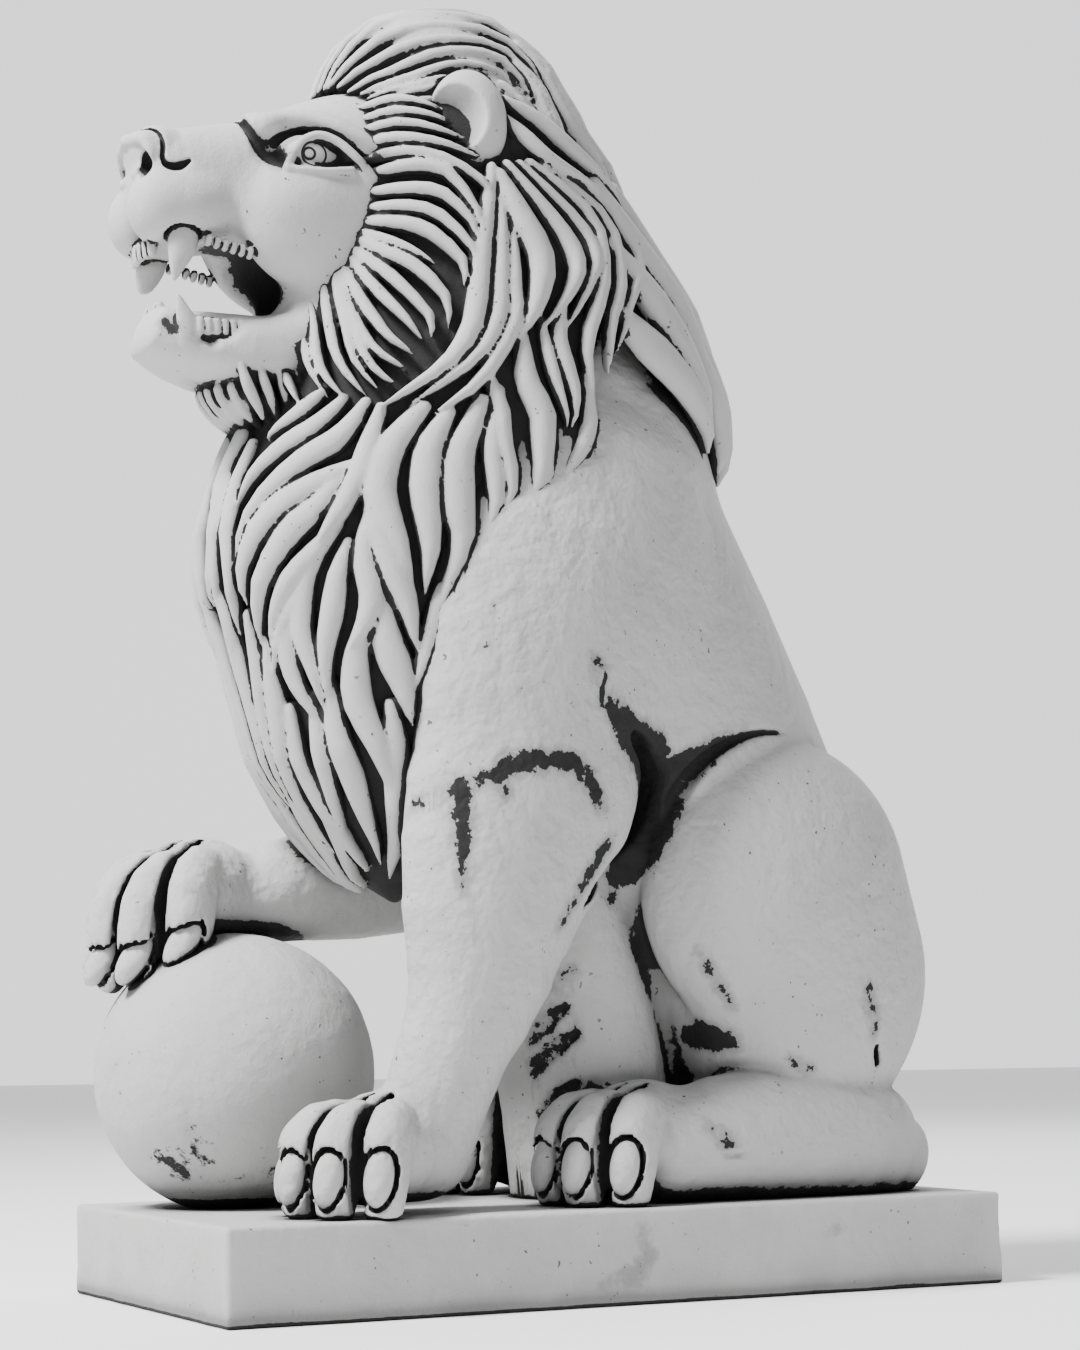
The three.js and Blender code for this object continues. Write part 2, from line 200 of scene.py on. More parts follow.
# A body along a line through stations [x, y, z, half width, half depth]; the width lies in the direction
# across. A squareness of 2 gives oval sections, and cap is how far the ends bulge.
def limb(stations, pieces=7, squareness=2.0, across=(1, 0, 0), cap=1.0):
    rows = [list(s) + ([s[3]] if len(s) == 4 else []) for s in stations]
    line = smoothLine(rows, pieces + 1)
    line[:, 3:] = np.maximum(line[:, 3:], 0.6)
    reach = line[:, 3:].max(1)[:, None] * (1.0 if squareness == 2 else 1.2)
    low = (line[:, :3] - reach).min(0)
    high = (line[:, :3] + reach).max(0)

    def distance(x, y, z):
        best = None
        for a, b in zip(line[:-1], line[1:]):
            ab = b[:3] - a[:3]
            length = max(np.linalg.norm(ab), 1e-6)
            ahead = (ab / length).astype(np.float32)
            wide = np.array(across) - ahead * (np.array(across) @ ahead)
            wide = (wide / max(np.linalg.norm(wide), 1e-6)).astype(np.float32)
            deep = np.cross(wide, ahead)
            px, py, pz = x - np.float32(a[0]), y - np.float32(a[1]), z - np.float32(a[2])
            run = along(ahead, px, py, pz)
            t = np.clip(run / np.float32(length), 0, 1)
            beyond = run - t * np.float32(length)
            u, v = along(wide, px, py, pz), along(deep, px, py, pz)
            w = np.float32(a[3]) + t * np.float32(b[3] - a[3])
            d = np.float32(a[4]) + t * np.float32(b[4] - a[4])
            m = np.minimum(w, d) * np.float32(cap)
            if squareness == 2:
                near = np.sqrt((u / w) ** 2 + (v / d) ** 2 + (beyond / m) ** 2)
            else:
                flat = (np.abs(u / w) ** squareness + np.abs(v / d) ** squareness) ** (2 / squareness)
                near = np.sqrt(flat + (beyond / m) ** 2)
            steep = np.sqrt((u / (w * w)) ** 2 + (v / (d * d)) ** 2 + (beyond / (m * m)) ** 2)
            new = near * (near - 1) / np.maximum(steep, 1e-6)
            best = new if best is None else np.minimum(best, new)
        return best

    return low, high, distance


def ellipsoids(centre, radii, turn=(0, 0, 0)):
    x, y, z = centre
    return [ellipsoid((s * x, y, z), radii, (turn[0], turn[1], s * turn[2])) for s in (1, -1)]


# The mane's mass by level: height, middle, half width, half depth
maneLevels = np.array([
    [226, -112, 8, 8], [246, -118, 46, 30], [272, -122, 80, 48], [294, -124, 96, 64], [332, -122, 110, 90],
    [370, -116, 118, 108], [414, -108, 124, 131], [459, -88, 129, 168], [497, -72, 131, 186],
    [535, -48, 133, 201], [582, -34, 133, 198], [619, -32, 131, 192], [652, -32, 128, 180],
    [688, -36, 124, 168], [727, -44, 118, 150], [766, -52, 112, 136], [802, -60, 105, 126],
    [832, -66, 97, 108], [871, -70, 82, 88], [895, -74, 66, 76], [917, -76, 46, 56],
    [926, -74, 14, 18]], float)
# The crown's reach from a centre inside the head, by climb in degrees
crownReach = np.array([[15, 128], [25, 131], [54, 145], [85, 142.6], [99, 144.7], [127, 131], [138, 122],
                       [160, 121], [189, 158]], float)
crownShape = {"front": -60.0, "height": 790.0, "halfWidth": 92.0}


def levelAt(height, sink=0.0):
    h = np.clip(height, maneLevels[0, 0], maneLevels[-1, 0])
    middle, wide, deep = (np.interp(h, maneLevels[:, 0], maneLevels[:, k]) for k in (1, 2, 3))
    return middle, wide - sink, deep - sink


def onMane(angle, height):
    a = np.radians(angle)
    middle, wide, deep = levelAt(height)
    return np.stack([wide * np.sin(a), middle - deep * np.cos(a), height + 0 * a], -1)


def onCrown(across, climb):
    a, c = np.radians(across), np.radians(climb)
    reach = np.interp(climb, crownReach[:, 0], crownReach[:, 1]) - 8
    wide = crownShape["halfWidth"] * np.sin(a)
    return np.stack([wide, crownShape["front"] - reach * np.cos(a) * np.cos(c),
                     crownShape["height"] + reach * np.cos(a) * np.sin(c)], -1)


def maneMass(sink=0.0):
    low, high = maneLevels[0, 0], maneLevels[-1, 0]

    def distance(x, y, z):
        middle, wide, deep = (v.astype(np.float32) for v in levelAt(z, sink))
        wide, deep = np.maximum(wide, 2), np.maximum(deep, 2)
        near = np.sqrt((x / wide) ** 2 + ((y - middle) / deep) ** 2)
        steep = np.sqrt((x / wide ** 2) ** 2 + ((y - middle) / deep ** 2) ** 2)
        side = near * (near - 1) / np.maximum(steep, 1e-6)
        return np.maximum(side, np.maximum(z - high, low - z))

    return (-135, -255, low), (135, 170, high), distance


# A lock of hair on a chart. Its line runs through places of the chart, it is widest past its root and
# ends in a point, and grooves run along it. It lifts off the surface towards its tip.
def lock(chart, places, width, rise, grooves=2, lift=3.0, sink=6.0, depth=2.2, points=11):
    line = smoothLine(places, points)
    u, v = line[:, 0], line[:, 1]
    centre = chart(u, v)
    east = chart(u + 0.5, v) - chart(u - 0.5, v)
    north = chart(u, v + 0.5) - chart(u, v - 0.5)
    normal = np.cross(east, north)
    normal /= np.linalg.norm(normal, axis=1)[:, None]
    ahead = np.gradient(centre, axis=0)
    ahead /= np.linalg.norm(ahead, axis=1)[:, None]
    side = np.cross(normal, ahead)
    t = np.linspace(0, 1, points)
    half = width / 2 * np.clip(np.sin(np.pi * (0.13 + 0.87 * t)) ** 0.75, 0.06, 1)
    high = rise * (0.45 + 0.55 * np.sin(np.pi * np.clip(t * 0.8 + 0.12, 0, 1)))
    high = high * np.clip((1.04 - t) * 6, 0.3, 1)
    centre = centre + normal * (lift * t)[:, None]
    reach = np.maximum(half, high)[:, None] + 1
    low, top = (centre - reach).min(0), (centre + reach).max(0)

    def distance(x, y, z):
        best = None
        for i in range(points - 1):
            a, b = centre[i], centre[i + 1]
            ab = b - a
            size = max(ab @ ab, 1e-6)
            px, py, pz = x - np.float32(a[0]), y - np.float32(a[1]), z - np.float32(a[2])
            s = np.clip(along(ab, px, py, pz) / np.float32(size), 0, 1)
            qx, qy, qz = (p - s * np.float32(step) for p, step in zip((px, py, pz), ab))
            flat = side[i] + side[i + 1]
            flat = flat / np.linalg.norm(flat)
            up = normal[i] + normal[i + 1]
            up = up / np.linalg.norm(up)
            c, h = along(flat, qx, qy, qz), along(up, qx, qy, qz)
            rest = np.maximum(qx * qx + qy * qy + qz * qz - c * c - h * h, 0)
            w = np.float32(half[i]) + s * np.float32(half[i + 1] - half[i])
            r = np.float32(high[i]) + s * np.float32(high[i + 1] - high[i])
            below = np.where(h < 0, np.float32(sink), r)
            near = np.sqrt((c / w) ** 2 + (h / below) ** 2 + rest / (r * r))
            steep = np.sqrt((c / (w * w)) ** 2 + (h / (below * below)) ** 2 + rest / r ** 4)
            new = near * (near - 1) / np.maximum(steep, 1e-6)
            if grooves:
                place = np.clip(c / w, -1, 1) * np.float32(0.5 * (grooves + 1))
                furrow = np.abs(place - np.round(place)) * 2
                furrow = 1 - furrow if grooves % 2 else furrow
                new = new + np.float32(depth) * furrow ** 6 * (np.abs(c) < w * 0.8) * np.clip(r / 4, 0, 1)
            best = new if best is None else np.minimum(best, new)
        return best

    return low, top, distance


# The locks of one side, as read along the photograph: width, then places on the chart as (angle from
# the front in degrees, height), from root to tip. The other side mirrors them.
ruffLocks = [
    (10, [(40, 824), (50, 827), (60, 824), (70, 816)]),
    (10, [(40, 813), (51, 817), (62, 814), (73, 806)]),
    (10, [(40, 803), (52, 807), (64, 803), (76, 794)]),
    (11, [(40, 793), (52, 796), (66, 791), (79, 780)]),
    (11, [(42, 782), (54, 785), (66, 779), (77, 762), (80, 746)]),
    (12, [(48, 772), (57, 774), (67, 768), (74, 736), (74, 716)]),
    (12, [(46, 755), (56, 755), (65, 750), (72, 728), (72, 708)]),
    (12, [(45, 742), (54, 741), (63, 733), (71, 708), (71, 692)]),
    (13, [(42, 731), (52, 728), (60, 720), (68, 698), (68, 678)]),
    (9, [(40, 722), (48, 714), (55, 705), (61, 694)]),
    (13, [(40, 715), (48, 704), (55, 694), (63, 670), (64, 645)]),
    (12, [(38, 707), (45, 694), (51, 680), (59, 655), (60, 638)]),
    (11, [(39, 694), (46, 673), (52, 656), (58, 636)]),
    (11, [(37, 684), (43, 660), (49, 640), (56, 626)]),
    (10, [(36, 672), (41, 648), (47, 628), (55, 614)]),
    (11, [(34, 688), (37, 663), (42, 636), (47, 615), (53, 602)]),
    (11, [(31, 694), (34, 672), (38, 645), (42, 621), (49, 598)]),
    (11, [(28, 682), (31, 658), (35, 634), (40, 613), (46, 594)]),
    (10, [(25, 662), (29, 636), (34, 612), (41, 592)]),
    (10, [(19, 664), (24, 642), (29, 620), (36, 594)]),
    (10, [(12, 652), (17, 632), (22, 612), (28, 590)]),
]
sideLocks = [
    (18, [(82, 773), (74, 710), (70, 648), (64, 615), (50, 584)]),
    (16, [(83, 755), (78, 690), (76, 655), (71, 622), (57, 586)]),
    (15, [(84, 725), (81, 682), (80, 652), (72, 604), (63, 580)]),
    (23, [(84, 768), (87, 738), (90, 705), (86, 668), (81, 640)]),
    (16, [(88, 777), (99, 732), (101, 705), (96, 680), (86, 645)]),
    (13, [(93, 779), (107, 737), (108, 710), (102, 686), (92, 646)]),
    (15, [(94, 672), (91, 645), (92, 622), (94, 600), (94, 572)]),
    (11, [(87, 655), (88, 628), (90, 603), (93, 574)]),
    (15, [(97, 781), (114, 742), (107, 690), (98, 640), (99, 588)]),
    (14, [(102, 780), (121, 743), (113, 690), (106, 658), (103, 618)]),
    (14, [(109, 782), (131, 746), (128, 715), (115, 680), (106, 634)]),
    (21, [(82, 640), (83, 607), (87, 580), (90, 535), (91, 500)]),
    (15, [(74, 612), (77, 587), (80, 556), (86, 515), (86, 484)]),
    (15, [(97, 615), (98, 586), (98, 560), (95, 535), (93, 508)]),
    (32, [(111, 668), (117, 650), (124, 634), (135, 604), (140, 574)]),
    (34, [(118, 724), (126, 690), (131, 660), (136, 626), (140, 586)]),
    (34, [(134, 700), (141, 660), (146, 622), (150, 596), (152, 562)]),
    (36, [(150, 704), (157, 664), (162, 626), (166, 596), (168, 560)]),
    (36, [(168, 704), (174, 664), (178, 626), (181, 596), (180, 562)]),
    (36, [(124, 774), (134, 730), (139, 700), (143, 672), (145, 626)]),
    (38, [(140, 778), (150, 732), (156, 700), (160, 668), (162, 622)]),
    (38, [(158, 780), (167, 734), (172, 700), (177, 664), (179, 620)]),
    (30, [(176, 780), (178, 740), (178, 706), (176, 676), (170, 640)]),
    (13, [(92, 818), (98, 803), (104, 786), (114, 774), (126, 764)]),
    (15, [(96, 832), (108, 819), (117, 800), (128, 782), (138, 760)]),
]
chestLocks = [
    (15, [(3, 596), (5, 572), (4, 548), (2, 512)]),
    (16, [(7, 540), (8, 512), (6, 480), (2, 446)]),
    (16, [(4, 470), (7, 440), (5, 408), (2, 372)]),
    (15, [(8, 396), (7, 366), (4, 334), (1, 300)]),
    (14, [(5, 330), (7, 304), (5, 280), (2, 254)]),
    (14, [(34, 600), (28, 583), (20, 566)]),
    (18, [(40, 592), (34, 572), (28, 560), (21, 542), (16, 518)]),
    (20, [(46, 588), (42, 563), (34, 545), (24, 515), (18, 476)]),
    (22, [(47, 540), (38, 525), (30, 508), (22, 475), (20, 444)]),
    (22, [(46, 536), (42, 509), (35, 488), (26, 450), (21, 416)]),
    (18, [(49, 495), (44, 478), (37, 458), (31, 438), (25, 410)]),
    (14, [(46, 477), (41, 454), (35, 436), (29, 416), (23, 390)]),
    (19, [(50, 584), (50, 556), (50, 530), (48, 500), (43, 474)]),
    (27, [(60, 584), (55, 550), (56, 520), (63, 490), (71, 445)]),
    (25, [(66, 580), (64, 552), (66, 524), (72, 485), (74, 445)]),
    (27, [(73, 590), (71, 545), (75, 512), (80, 480), (79, 425)]),
    (17, [(77, 598), (77, 562), (80, 534), (84, 508), (85, 474)]),
    (17, [(84, 595), (88, 561), (91, 536), (94, 509), (92, 486)]),
    (23, [(53, 540), (58, 500), (64, 466), (70, 436), (76, 400)]),
    (20, [(56, 502), (57, 470), (60, 444), (58, 420), (51, 398)]),
    (19, [(52, 482), (50, 452), (48, 428), (45, 400), (44, 366)]),
    (19, [(44, 476), (40, 446), (38, 421), (40, 394), (42, 362)]),
    (19, [(37, 444), (32, 414), (32, 386), (39, 354)]),
    (25, [(63, 440), (66, 407), (71, 382), (76, 350)]),
    (17, [(78, 450), (79, 421), (78, 396), (74, 368)]),
    (17, [(83, 456), (82, 433), (82, 414), (80, 396)]),
    (23, [(59, 426), (55, 397), (55, 366), (64, 330), (69, 296)]),
    (21, [(45, 380), (45, 350), (48, 322), (50, 294), (54, 256)]),
    (17, [(37, 372), (37, 342), (36, 313), (32, 278)]),
    (17, [(25, 366), (24, 336), (25, 309), (29, 280), (38, 250)]),
    (20, [(23, 416), (20, 382), (18, 352), (14, 308), (14, 266)]),
    (22, [(67, 364), (70, 333), (71, 305), (69, 276), (62, 246)]),
    (17, [(3, 580), (4, 544), (6, 513), (8, 477), (5, 436)]),
    (16, [(12, 566), (12, 530), (14, 498), (15, 462), (12, 422)]),
    (19, [(7, 450), (6, 415), (5, 381), (4, 342), (2, 300)]),
    (18, [(17, 436), (15, 400), (12, 367), (10, 333), (6, 290)]),
    (17, [(28, 318), (27, 292), (24, 268), (16, 240)]),
    (17, [(8, 318), (8, 290), (6, 262), (2, 236)]),
]
# The crown, as (angle across the head, climb from the forehead over the top)
crownLocks = [
    (13, [(4, 30), (7, 54), (10, 80), (14, 108), (16, 140)]),
    (14, [(10, 30), (16, 52), (22, 78), (30, 104), (36, 134)]),
    (14, [(14, 31), (26, 48), (33, 71), (38, 98), (46, 130)]),
    (13, [(20, 30), (36, 47), (43, 70), (46, 96), (54, 132)]),
    (13, [(27, 28), (45, 46), (50, 72), (52, 94), (60, 126)]),
    (12, [(34, 28), (46, 38), (54, 52), (57, 80), (60, 102)]),
    (10, [(37, 26), (46, 33), (54, 42), (60, 58), (62, 76)]),
    (10, [(44, 25), (51, 33), (58, 44), (63, 58)]),
    (9, [(47, 21), (53, 29), (60, 38), (65, 48)]),
    (9, [(52, 17), (57, 22), (62, 29), (67, 37)]),
]
# The nape, on the crown's chart
napeLocks = [
    (27, [(3, 112), (5, 138), (7, 164), (7, 190)]),
    (27, [(19, 110), (21, 138), (24, 162), (24, 190)]),
    (25, [(35, 110), (38, 138), (40, 162), (40, 188)]),
    (22, [(50, 110), (55, 138), (58, 160), (56, 186)]),
    (14, [(64, 100), (68, 128), (70, 152), (66, 176)]),
]


# The rows with their roots drawn back under what they grow from
def rooted(rows, back):
    result = []
    for width, places in rows:
        (a, b), (c, d) = places[:2]
        result.append((width, [(a - back * (c - a), b - back * (d - b))] + places))
    return result


def mirrored(rows):
    return [(w, [(-a, b) for a, b in places]) for w, places in rows]


def hair(chart, rows, rise, spread=1.0, **shape):
    parts = []
    for width, places in rows + mirrored(rows):
        parts.append(lock(chart, places, width * spread, rise * (0.6 + width / 40), **shape))
    return parts


# A round or oval tube, through places with a half width across and a depth, or with one radius for all
def tube(points, radius=1.0):
    return limb([list(p) + [radius, radius] if len(p) == 3 else list(p) for p in points],
                pieces=3 * len(points) - 3)


def mirror(side, rows):
    return [[side * r[0]] + list(r[1:]) for r in rows]


def tubes(rows, radius=1.0):
    return [tube(mirror(s, rows), radius) for s in (1, -1)]


maneForm = {"sink": 5.0, "chest": 8.0, "side": 8.5, "ruff": 7.5, "crown": 6.5, "nape": 8.0, "blend": 0.8}


def buildMane():
    field = Field((-162, -290, 214), (162, 196, 944), quality["mane"])
    blend = maneForm["blend"]
    field.add(maneMass(maneForm["sink"]))
    # the mass gives way to the back behind the long locks
    edge = np.array([0, -0.76, -0.65])
    for s in (1, -1):
        field.cut(((-200, 0, 200), (200, 200, 700), lambda x, y, z: np.maximum(
            (y - 20) * edge[1] + (z - 663) * -edge[2], 60 - s * x).astype(np.float32)), 2)
    field.cut(ellipsoid((0, -200, 690), (46, 62, 50)))
    field.add(hair(onMane, chestLocks, maneForm["chest"], 1.02, grooves=0, lift=5.0, sink=9), blend)
    field.add(hair(onMane, sideLocks, maneForm["side"], 1.02, grooves=0, lift=5.0, sink=9), blend)
    field.add(hair(onMane, rooted(ruffLocks, 0.8), maneForm["ruff"], 1.02, grooves=0, lift=5.0, sink=9),
              blend)
    field.add(hair(onCrown, napeLocks, maneForm["nape"], 1.0, grooves=2, lift=2.0, sink=9), blend)
    field.add(hair(onCrown, crownLocks, maneForm["crown"], 0.86, grooves=0, lift=2.0, sink=10), blend)
    return field


headForm = {"iris": (-199.0, 782.0), "irisRadius": 9.3, "pupil": (-203.0, 782.0), "pupilRadius": 4.3}


# A tube that follows the skin of one side, through (y, z, width across, depth), lifted off it
def onSkin(field, side, rows, lift=0.0):
    reach = field.skin(side, [r[:2] for r in rows])
    return tube([(side * (x + lift), r[0], r[1], r[2], r[3]) for x, r in zip(reach, rows)])


def onSkins(field, rows, lift=0.0):
    return [onSkin(field, s, rows, lift) for s in (1, -1)]


def buildHead():
    field = Field((-122, -340, 560), (122, -10, 868), quality["head"])
    field.add(ellipsoid((0, -130, 782), (80, 94, 70)), 10)
    field.add(limb([(0, -120, 780, 73, 68), (0, -190, 776, 63, 57), (0, -240, 768, 53, 49),
                    (0, -280, 764, 45, 45), (0, -304, 764, 40, 40)], pieces=9, squareness=2.6, cap=0.42), 14)
    field.add(ellipsoids((42, -168, 736), (37, 80, 58)), 16)
    field.add(ellipsoids((50, -196, 748), (26, 40, 30)), 12)
    field.add(limb([(0, -150, 656, 68, 56), (0, -200, 640, 60, 34), (0, -240, 636, 54, 27),
                    (0, -280, 643, 43, 24), (0, -304, 651, 32, 20)], pieces=8, squareness=2.8, cap=0.5), 8)
    field.add(ellipsoid((0, -146, 690), (77, 70, 84)), 10)
    # the nose pad and the lips
    field.add(ellipsoid((0, -303, 791), (35, 20, 18)), 6)
    field.add(ellipsoids((24, -308, 742), (24, 21, 28)), 6)
    field.add(ellipsoids((32, -286, 742), (22, 34, 26)), 10)
    # the mouth: the gap, a notch under each lip and the hollow behind
    field.cut(limb([(0, -400, 693, 95, 21), (0, -320, 692, 95, 22), (0, -290, 690, 95, 25),
                    (0, -276, 688, 95, 26)], pieces=9, squareness=3, cap=0.7), 2)
    for s in (1, -1):
        field.cut(limb([(s * 68, -308, 672, 30, 8), (s * 68, -296, 662, 31, 18),
                        (s * 68, -280, 658, 32, 32), (s * 68, -270, 672, 32, 36)], pieces=7, squareness=2.5,
                       cap=0.55), 3)
    field.cut(limb([(0, -278, 692, 40, 26), (0, -238, 690, 30, 28), (0, -196, 690, 26, 24)]), 3)
    # the gum and the tongue
    field.add(limb([(0, -190, 652, 36, 14), (0, -240, 652, 38, 15), (0, -280, 652, 33, 15),
                    (0, -300, 654, 25, 12)], pieces=8, squareness=3, cap=0.6), 3)
    # the teeth, each row in a trough
    for s in (1, -1):
        field.cut(tube(mirror(s, [(38, -291, 724, 9, 14), (39, -293, 706, 9, 14)])), 1)
        field.cut(tube(mirror(s, [(50, -280, 714, 9, 4), (50, -262, 711, 9, 4), (48, -246, 708, 8, 3)])), 1)
        field.cut(tube(mirror(s, [(8, -318, 712, 9, 5), (22, -314, 712, 9, 5)])), 1)
        field.add(tube(mirror(s, [(36, -290, 726, 8, 12), (38, -292, 712, 7.5, 11.5),
                                  (40, -296, 698, 5, 7.5), (40, -299, 684 if s > 0 else 692, 1.6, 2)])), 0.8)
        field.add(tube(mirror(s, [(35, -284, 636, 6, 10), (38, -287, 648, 6, 9), (39, -292, 660, 4, 6),
                                  (39, -296, 672, 1.4, 2)])), 0.8)
        for k in range(6):
            y = -274 + 6.5 * k
            field.add(tube([(s * 46, y, 716 - 1.2 * k, 4, 3.0),
                            (s * 46, y - 1, 712 - 1.4 * k, 3.2, 2.6)]), 0.5)
            field.add(tube([(s * 40, y - 6, 646, 6, 4.0), (s * 40, y - 6, 654, 5, 3.6)]), 0.5)
        for k in range(3):
            field.add(tube([(s * (4 + 8 * k), -312 + 1.5 * k, 716, 4, 5),
                            (s * (4 + 8 * k), -313 + 1.5 * k, 707, 3.2, 3)]), 0.5)
            field.add(tube([(s * (4 + 7 * k), -304 + k, 662, 3.6, 4),
                            (s * (4 + 7 * k), -305 + k, 669, 3, 3)]), 0.5)
    # the forehead's furrow and the philtrum
    field.cut(tube([(0, -262, 828, 6, 4), (0, -230, 846, 8, 4), (0, -200, 860, 5, 4)]), 6)
    field.cut(tube([(0, -330, 776, 2, 5), (0, -335, 750, 2.6, 8), (0, -335, 724, 3, 9),
                    (0, -330, 704, 3, 9)]), 2)
    # the nostrils, their wings and the comma behind them
    wing = [(-323, 797, 4, 5), (-318, 794, 5, 6), (-314, 786, 5, 6), (-315, 775, 5, 5), (-320, 767, 4, 4)]
    behind = [(-320, 806, 3, 0.9), (-310, 799, 4, 1.2), (-306, 788, 4, 1.4), (-307, 777, 5, 1.8),
              (-304, 770, 6, 2.8), (-297, 769, 6, 3.4), (-291, 772, 5, 2.4), (-287, 775, 3, 1)]
    added = onSkins(field, wing, 0.5)
    grooves = onSkins(field, behind)
    field.add(added, 3)
    field.cut(grooves, 1.2)
    field.cut(tubes([(46, -346, 770, 11, 14), (35, -330, 771, 10.5, 14), (22, -312, 775, 6, 8)]), 1.5)
    # the brows, with the hollow before them and the line below them
    brow = [(-236, 810, 9, 9), (-229, 806, 11, 11), (-214, 812, 10, 8.5), (-196, 812, 10, 8),
            (-178, 805, 9, 7.5), (-162, 796, 7, 6), (-148, 788, 4, 4)]
    before = [(-264, 821, 3, 1), (-252, 819, 4, 1.6), (-245, 812, 5, 2), (-242, 801, 6, 3),
              (-236, 790, 9, 6), (-229, 783, 11, 8), (-221, 776, 10, 6), (-215, 769, 5, 3)]
    below = [(-228, 789, 8, 5), (-219, 797, 8, 3.2), (-206, 802, 8, 2.6), (-190, 799, 8, 2.4),
             (-175, 790, 8, 2.8), (-162, 780, 8, 4.2), (-150, 778, 7, 4.2), (-141, 784, 4, 2)]
    raised = onSkins(field, brow, -2)
    sunk = [onSkin(field, s, rows) for s in (1, -1) for rows in (before, below)]
    field.add(raised, 4)
    field.cut(sunk, 1.5)
    # the eyes: a socket, the ball, and the lids as a thick rim
    field.cut(ellipsoids((79, -190, 782), (15, 26, 12.5), (0, 0, 8)), 2)
    field.add(ellipsoids((55, -191, 782), (14.5, 27, 17), (0, 0, 10)), 0)
    field.add(tubes([(66, -219, 770), (66, -213, 784), (66, -204, 793.5), (68, -193, 797), (72, -181, 792),
                     (76, -170, 782), (77, -160, 772), (77, -154, 766)], 3.8), 1)
    field.add(tubes([(68, -218, 769), (73, -204, 767.5), (76, -190, 767.5), (77, -172, 770)], 3.2), 2)
    # the ears
    field.add(ellipsoids((92, -84, 811), (19, 31, 43), (0, 0, -24)), 4)
    field.cut(ellipsoids((104, -102, 814), (18, 27, 28), (10, 0, -30)), 3)
    # the tuft under the chin
    field.add(ellipsoid((0, -236, 604), (36, 22, 22)), 6)
    for k in range(-4, 5):
        x = 9.5 * k
        start = -264 + 0.016 * x * x
        field.add(tube([(x, start + 8, 624, 3, 3), (x * 1.05, start + 1, 608, 4.2, 5),
                        (x * 0.9, start + 14, 591, 4.2, 5), (x * 0.55, start + 34, 577, 2, 2)]), 0.6)
    for s in (1, -1):
        for k in range(4):
            field.add(tube(mirror(s, [(47 + k, -250 + 14 * k, 622, 3, 3), (46, -243 + 14 * k, 604, 5, 4.4),
                                      (36, -228 + 12 * k, 586, 3, 3)])), 0.6)
    return field


# Dark marks that the photograph shows, as lines with a half width at each place: stains and patina, and
# painted shade in the pit of the flank and over the haunch. Those of the first list are also on the other
# side.
stainsAndShade = [
    [(120, -152, 288, 2.5), (128, -147, 292, 3), (147, -125, 300, 3.5), (157, -97, 311, 4),
     (161, -88, 318, 7), (161, -64, 322, 7), (160, -39, 320, 7), (159, -23, 307, 6), (156, -14, 290, 3)],
    [(149, -121, 302, 6), (153, -122, 280, 5), (154, -123, 250, 3.5), (154, -123, 226, 1)],
    [(161, -98, 312, 5), (160, -92, 296, 2)],
    # painted shade and patina in the pit of the flank, behind the elbow
    [(162, -18, 398, 2), (159, -8, 368, 7), (146, 12, 346, 14), (126, 36, 328, 24), (110, 48, 300, 28),
     (98, 46, 270, 23), (86, 40, 244, 12), (80, 34, 226, 4)],
    # painted shade over the haunch, along its groove
    [(126, 70, 318, 14), (128, 96, 336, 8), (124, 124, 348, 3)],
    [(152, 214, 160, 0.5), (150, 218, 138, 3), (146, 222, 120, 1)],
    [(147, -4, 262, 5), (153, -30, 226, 3), (153, -47, 199, 1)],
    [(66, 100, 120, 6), (92, 100, 122, 12), (114, 110, 115, 8)],
    [(132, 79, 181, 1), (129, 95, 159, 2.2), (126, 108, 144, 1)],
    [(151, 212, 157, 0.5), (148, 217, 135, 2)],
    [(50, -234, 787, 7), (54, -228, 783, 9), (60, -220, 776, 7)],
    # darker inside the mouth
    [(0, -250, 694, 30), (0, -200, 692, 34)],
    [(33, -304, 652, 3.5), (33, -290, 644, 5), (33, -266, 642, 5)],
    [(100, -108, 830, 4), (96, -100, 814, 11), (98, -96, 794, 9)],
    [(80, -160, 780, 3), (80, -150, 780, 4.5), (80, -141, 784, 2)],
]
nearStains = [
    [(38, -278, 714, 4.5), (38, -244, 710, 4.5)],
    [(178, 4, -14, 2), (178, 8, -34, 5), (178, -2, -48, 8), (178, -40, -56, 2)],
    [(178, 150, -24, -3), (178, 166, -21, 0), (178, 180, -24, -3)],
    [(150, 62, 80, 1.5), (160, 72, 60, 4), (158, 84, 44, 4), (154, 94, 32, 1.5)],
    [(136, 151, 102, 2), (138, 167, 95, 2)],
]


# The folds of the belly beside the foreleg, as (x, y, z) with half widths
bellyFolds = [
    [(71, -14, 160, 1.5), (76, -8, 166, 3), (79, 0, 172, 2)],
    [(42, -20, 120, 4), (56, -13, 133, 6), (66, -3, 144, 4)],
    [(35, -15, 98, 5), (54, -8, 112, 7), (67, 6, 124, 4)],
    [(38, -9, 62, 5), (52, -2, 76, 8), (63, 8, 87, 4)],
    [(47, -5, 53, 6), (63, 10, 68, 7), (76, 30, 83, 3)],
]
stainsAndShade.extend(bellyFolds)


# A paw whose four toes spread like a fan; each claw is an oval in a socket of its own. It is turned
# towards +X by an angle in degrees, and droop bends the toes down.
pawForm = {"spread": 18.5, "claw": (10.8, 9.0, 20.5), "socket": 3.4, "cleft": 4.6}


